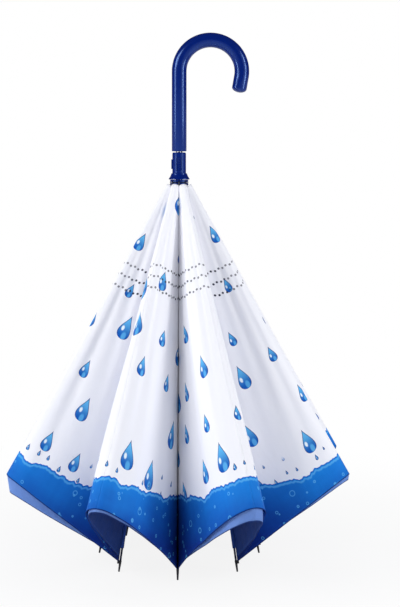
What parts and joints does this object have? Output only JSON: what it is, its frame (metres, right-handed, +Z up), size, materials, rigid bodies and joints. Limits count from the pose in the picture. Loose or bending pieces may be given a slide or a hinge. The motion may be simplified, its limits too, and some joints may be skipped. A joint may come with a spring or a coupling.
{
  "type": "inverted umbrella",
  "caption": "Inverted umbrella with a crook handle, standing part folded on its rib tips. The printed inner canopy is outside, and a second layer lies inside it.",
  "frame": {"origin": "on the shaft's axis, on the surface that the rib tips stand on", "axes": "+Z up along the shaft towards the handle, +X towards the crook's open end, -Y towards the pictured front"},
  "size_m": [0.5034, 0.5034, 0.7996],
  "materials": {
    "blue_plastic": "glossy moulded plastic",
    "grip": "soft ribbed pad",
    "printed_cloth": "printed pongee, white with blue drops",
    "blue_cloth": "plain blue pongee",
    "black_plastic": "moulded tip caps",
    "fibreglass": "smooth black rod",
    "steel": "dark plated steel"
  },
  "bodies": {
    "shaft": {"shaft_tube": "steel", "crook_handle": "blue_plastic", "top_notch": "blue_plastic", "notch_wire": "steel", "ferrule_cap": "blue_plastic", "outer_canopy": "blue_cloth"},
    "runner": {"runner_sleeve": "blue_plastic", "runner_skirt": "blue_plastic", "rib_hub": "blue_plastic", "hub_wire": "steel", "thumb_grip": "grip", "button_spring_leaf": "steel"},
    "release_button": {"release_button": "blue_plastic"},
    "rib_0": {"rib_0": "fibreglass", "rib_tip_0": "black_plastic"},
    "stretcher_0": {"stretcher_0": "steel"},
    "gore_0_left": {"inner_gore_0_left": "printed_cloth"},
    "gore_0_right": {"inner_gore_0_right": "printed_cloth"},
    "rib_1": {"rib_1": "fibreglass", "rib_tip_1": "black_plastic"},
    "stretcher_1": {"stretcher_1": "steel"},
    "gore_1_left": {"inner_gore_1_left": "printed_cloth"},
    "gore_1_right": {"inner_gore_1_right": "printed_cloth"},
    "rib_2": {"rib_2": "fibreglass", "rib_tip_2": "black_plastic"},
    "stretcher_2": {"stretcher_2": "steel"},
    "gore_2_left": {"inner_gore_2_left": "printed_cloth"},
    "gore_2_right": {"inner_gore_2_right": "printed_cloth"},
    "rib_3": {"rib_3": "fibreglass", "rib_tip_3": "black_plastic"},
    "stretcher_3": {"stretcher_3": "steel"},
    "gore_3_left": {"inner_gore_3_left": "printed_cloth"},
    "gore_3_right": {"inner_gore_3_right": "printed_cloth"},
    "rib_4": {"rib_4": "fibreglass", "rib_tip_4": "black_plastic"},
    "stretcher_4": {"stretcher_4": "steel"},
    "gore_4_left": {"inner_gore_4_left": "printed_cloth"},
    "gore_4_right": {"inner_gore_4_right": "printed_cloth"},
    "rib_5": {"rib_5": "fibreglass", "rib_tip_5": "black_plastic"},
    "stretcher_5": {"stretcher_5": "steel"},
    "gore_5_left": {"inner_gore_5_left": "printed_cloth"},
    "gore_5_right": {"inner_gore_5_right": "printed_cloth"},
    "rib_6": {"rib_6": "fibreglass", "rib_tip_6": "black_plastic"},
    "stretcher_6": {"stretcher_6": "steel"},
    "gore_6_left": {"inner_gore_6_left": "printed_cloth"},
    "gore_6_right": {"inner_gore_6_right": "printed_cloth"},
    "rib_7": {"rib_7": "fibreglass", "rib_tip_7": "black_plastic"},
    "stretcher_7": {"stretcher_7": "steel"},
    "gore_7_left": {"inner_gore_7_left": "printed_cloth"},
    "gore_7_right": {"inner_gore_7_right": "printed_cloth"}
  },
  "joints": [
    {"name": "runner_slide", "type": "slide", "parent": "shaft", "child": "runner", "axis": [0, 0, -1], "range_m": [0, 0.17966], "deforming": ["outer_canopy"]},
    {"name": "button_press", "type": "slide", "parent": "runner", "child": "release_button", "axis": [1, 0, 0], "range_m": [0, 0.0012], "stiffness_N_per_m": 400, "springref_m": -0.001, "deforming": ["button_spring_leaf"]},
    {"name": "rib_hinge_0", "type": "hinge", "parent": "runner", "child": "rib_0", "pos_m": [0, -0.012, 0.56934], "axis": [-1, 0, 0], "range_deg": [0, 99]},
    {"name": "stretcher_hinge_0", "type": "hinge", "parent": "shaft", "child": "stretcher_0", "pos_m": [0, -0.009, 0.20968], "axis": [1, 0, 0], "range_deg": [0, 28.03]},
    {"name": "fold_0_left", "type": "hinge", "parent": "rib_0", "child": "gore_0_left", "pos_m": [0, -0.01455, 0.56984], "axis": [0, 0.1908, 0.9816], "range_deg": [0, 50]},
    {"name": "fold_0_right", "type": "hinge", "parent": "rib_0", "child": "gore_0_right", "pos_m": [0, -0.01455, 0.56984], "axis": [0, -0.1908, -0.9816], "range_deg": [0, 50]},
    {"name": "rib_hinge_1", "type": "hinge", "parent": "runner", "child": "rib_1", "pos_m": [0.00849, -0.00849, 0.56934], "axis": [-0.7071, -0.7071, 0], "range_deg": [0, 99]},
    {"name": "stretcher_hinge_1", "type": "hinge", "parent": "shaft", "child": "stretcher_1", "pos_m": [0.00636, -0.00636, 0.20968], "axis": [0.7071, 0.7071, 0], "range_deg": [0, 28.03]},
    {"name": "fold_1_left", "type": "hinge", "parent": "rib_1", "child": "gore_1_left", "pos_m": [0.01029, -0.01029, 0.56984], "axis": [-0.1349, 0.1349, 0.9816], "range_deg": [0, 50]},
    {"name": "fold_1_right", "type": "hinge", "parent": "rib_1", "child": "gore_1_right", "pos_m": [0.01029, -0.01029, 0.56984], "axis": [0.1349, -0.1349, -0.9816], "range_deg": [0, 50]},
    {"name": "rib_hinge_2", "type": "hinge", "parent": "runner", "child": "rib_2", "pos_m": [0.012, 0, 0.56934], "axis": [0, -1, 0], "range_deg": [0, 99]},
    {"name": "stretcher_hinge_2", "type": "hinge", "parent": "shaft", "child": "stretcher_2", "pos_m": [0.009, 0, 0.20968], "axis": [0, 1, 0], "range_deg": [0, 28.03]},
    {"name": "fold_2_left", "type": "hinge", "parent": "rib_2", "child": "gore_2_left", "pos_m": [0.01455, 0, 0.56984], "axis": [-0.1908, 0, 0.9816], "range_deg": [0, 50]},
    {"name": "fold_2_right", "type": "hinge", "parent": "rib_2", "child": "gore_2_right", "pos_m": [0.01455, 0, 0.56984], "axis": [0.1908, 0, -0.9816], "range_deg": [0, 50]},
    {"name": "rib_hinge_3", "type": "hinge", "parent": "runner", "child": "rib_3", "pos_m": [0.00849, 0.00849, 0.56934], "axis": [0.7071, -0.7071, 0], "range_deg": [0, 99]},
    {"name": "stretcher_hinge_3", "type": "hinge", "parent": "shaft", "child": "stretcher_3", "pos_m": [0.00636, 0.00636, 0.20968], "axis": [-0.7071, 0.7071, 0], "range_deg": [0, 28.03]},
    {"name": "fold_3_left", "type": "hinge", "parent": "rib_3", "child": "gore_3_left", "pos_m": [0.01029, 0.01029, 0.56984], "axis": [-0.1349, -0.1349, 0.9816], "range_deg": [0, 50]},
    {"name": "fold_3_right", "type": "hinge", "parent": "rib_3", "child": "gore_3_right", "pos_m": [0.01029, 0.01029, 0.56984], "axis": [0.1349, 0.1349, -0.9816], "range_deg": [0, 50]},
    {"name": "rib_hinge_4", "type": "hinge", "parent": "runner", "child": "rib_4", "pos_m": [0, 0.012, 0.56934], "axis": [1, 0, 0], "range_deg": [0, 99]},
    {"name": "stretcher_hinge_4", "type": "hinge", "parent": "shaft", "child": "stretcher_4", "pos_m": [0, 0.009, 0.20968], "axis": [-1, 0, 0], "range_deg": [0, 28.03]},
    {"name": "fold_4_left", "type": "hinge", "parent": "rib_4", "child": "gore_4_left", "pos_m": [0, 0.01455, 0.56984], "axis": [0, -0.1908, 0.9816], "range_deg": [0, 50]},
    {"name": "fold_4_right", "type": "hinge", "parent": "rib_4", "child": "gore_4_right", "pos_m": [0, 0.01455, 0.56984], "axis": [0, 0.1908, -0.9816], "range_deg": [0, 50]},
    {"name": "rib_hinge_5", "type": "hinge", "parent": "runner", "child": "rib_5", "pos_m": [-0.00849, 0.00849, 0.56934], "axis": [0.7071, 0.7071, 0], "range_deg": [0, 99]},
    {"name": "stretcher_hinge_5", "type": "hinge", "parent": "shaft", "child": "stretcher_5", "pos_m": [-0.00636, 0.00636, 0.20968], "axis": [-0.7071, -0.7071, 0], "range_deg": [0, 28.03]},
    {"name": "fold_5_left", "type": "hinge", "parent": "rib_5", "child": "gore_5_left", "pos_m": [-0.01029, 0.01029, 0.56984], "axis": [0.1349, -0.1349, 0.9816], "range_deg": [0, 50]},
    {"name": "fold_5_right", "type": "hinge", "parent": "rib_5", "child": "gore_5_right", "pos_m": [-0.01029, 0.01029, 0.56984], "axis": [-0.1349, 0.1349, -0.9816], "range_deg": [0, 50]},
    {"name": "rib_hinge_6", "type": "hinge", "parent": "runner", "child": "rib_6", "pos_m": [-0.012, 0, 0.56934], "axis": [0, 1, 0], "range_deg": [0, 99]},
    {"name": "stretcher_hinge_6", "type": "hinge", "parent": "shaft", "child": "stretcher_6", "pos_m": [-0.009, 0, 0.20968], "axis": [0, -1, 0], "range_deg": [0, 28.03]},
    {"name": "fold_6_left", "type": "hinge", "parent": "rib_6", "child": "gore_6_left", "pos_m": [-0.01455, 0, 0.56984], "axis": [0.1908, 0, 0.9816], "range_deg": [0, 50]},
    {"name": "fold_6_right", "type": "hinge", "parent": "rib_6", "child": "gore_6_right", "pos_m": [-0.01455, 0, 0.56984], "axis": [-0.1908, 0, -0.9816], "range_deg": [0, 50]},
    {"name": "rib_hinge_7", "type": "hinge", "parent": "runner", "child": "rib_7", "pos_m": [-0.00849, -0.00849, 0.56934], "axis": [-0.7071, 0.7071, 0], "range_deg": [0, 99]},
    {"name": "stretcher_hinge_7", "type": "hinge", "parent": "shaft", "child": "stretcher_7", "pos_m": [-0.00636, -0.00636, 0.20968], "axis": [0.7071, -0.7071, 0], "range_deg": [0, 28.03]},
    {"name": "fold_7_left", "type": "hinge", "parent": "rib_7", "child": "gore_7_left", "pos_m": [-0.01029, -0.01029, 0.56984], "axis": [0.1349, 0.1349, 0.9816], "range_deg": [0, 50]},
    {"name": "fold_7_right", "type": "hinge", "parent": "rib_7", "child": "gore_7_right", "pos_m": [-0.01029, -0.01029, 0.56984], "axis": [-0.1349, -0.1349, -0.9816], "range_deg": [0, 50]}
  ],
  "couplings": [
    {"joint": "rib_hinge_0", "follows": "runner_slide", "rad_per_m": 9.6173},
    {"joint": "stretcher_hinge_0", "follows": "runner_slide", "rad_per_m": 2.7233},
    {"joint": "fold_0_left", "follows": "runner_slide", "rad_per_m": 4.8572},
    {"joint": "fold_0_right", "follows": "runner_slide", "rad_per_m": 4.8572},
    {"joint": "rib_hinge_1", "follows": "runner_slide", "rad_per_m": 9.6173},
    {"joint": "stretcher_hinge_1", "follows": "runner_slide", "rad_per_m": 2.7233},
    {"joint": "fold_1_left", "follows": "runner_slide", "rad_per_m": 4.8572},
    {"joint": "fold_1_right", "follows": "runner_slide", "rad_per_m": 4.8572},
    {"joint": "rib_hinge_2", "follows": "runner_slide", "rad_per_m": 9.6173},
    {"joint": "stretcher_hinge_2", "follows": "runner_slide", "rad_per_m": 2.7233},
    {"joint": "fold_2_left", "follows": "runner_slide", "rad_per_m": 4.8572},
    {"joint": "fold_2_right", "follows": "runner_slide", "rad_per_m": 4.8572},
    {"joint": "rib_hinge_3", "follows": "runner_slide", "rad_per_m": 9.6173},
    {"joint": "stretcher_hinge_3", "follows": "runner_slide", "rad_per_m": 2.7233},
    {"joint": "fold_3_left", "follows": "runner_slide", "rad_per_m": 4.8572},
    {"joint": "fold_3_right", "follows": "runner_slide", "rad_per_m": 4.8572},
    {"joint": "rib_hinge_4", "follows": "runner_slide", "rad_per_m": 9.6173},
    {"joint": "stretcher_hinge_4", "follows": "runner_slide", "rad_per_m": 2.7233},
    {"joint": "fold_4_left", "follows": "runner_slide", "rad_per_m": 4.8572},
    {"joint": "fold_4_right", "follows": "runner_slide", "rad_per_m": 4.8572},
    {"joint": "rib_hinge_5", "follows": "runner_slide", "rad_per_m": 9.6173},
    {"joint": "stretcher_hinge_5", "follows": "runner_slide", "rad_per_m": 2.7233},
    {"joint": "fold_5_left", "follows": "runner_slide", "rad_per_m": 4.8572},
    {"joint": "fold_5_right", "follows": "runner_slide", "rad_per_m": 4.8572},
    {"joint": "rib_hinge_6", "follows": "runner_slide", "rad_per_m": 9.6173},
    {"joint": "stretcher_hinge_6", "follows": "runner_slide", "rad_per_m": 2.7233},
    {"joint": "fold_6_left", "follows": "runner_slide", "rad_per_m": 4.8572},
    {"joint": "fold_6_right", "follows": "runner_slide", "rad_per_m": 4.8572},
    {"joint": "rib_hinge_7", "follows": "runner_slide", "rad_per_m": 9.6173},
    {"joint": "stretcher_hinge_7", "follows": "runner_slide", "rad_per_m": 2.7233},
    {"joint": "fold_7_left", "follows": "runner_slide", "rad_per_m": 4.8572},
    {"joint": "fold_7_right", "follows": "runner_slide", "rad_per_m": 4.8572}
  ]
}
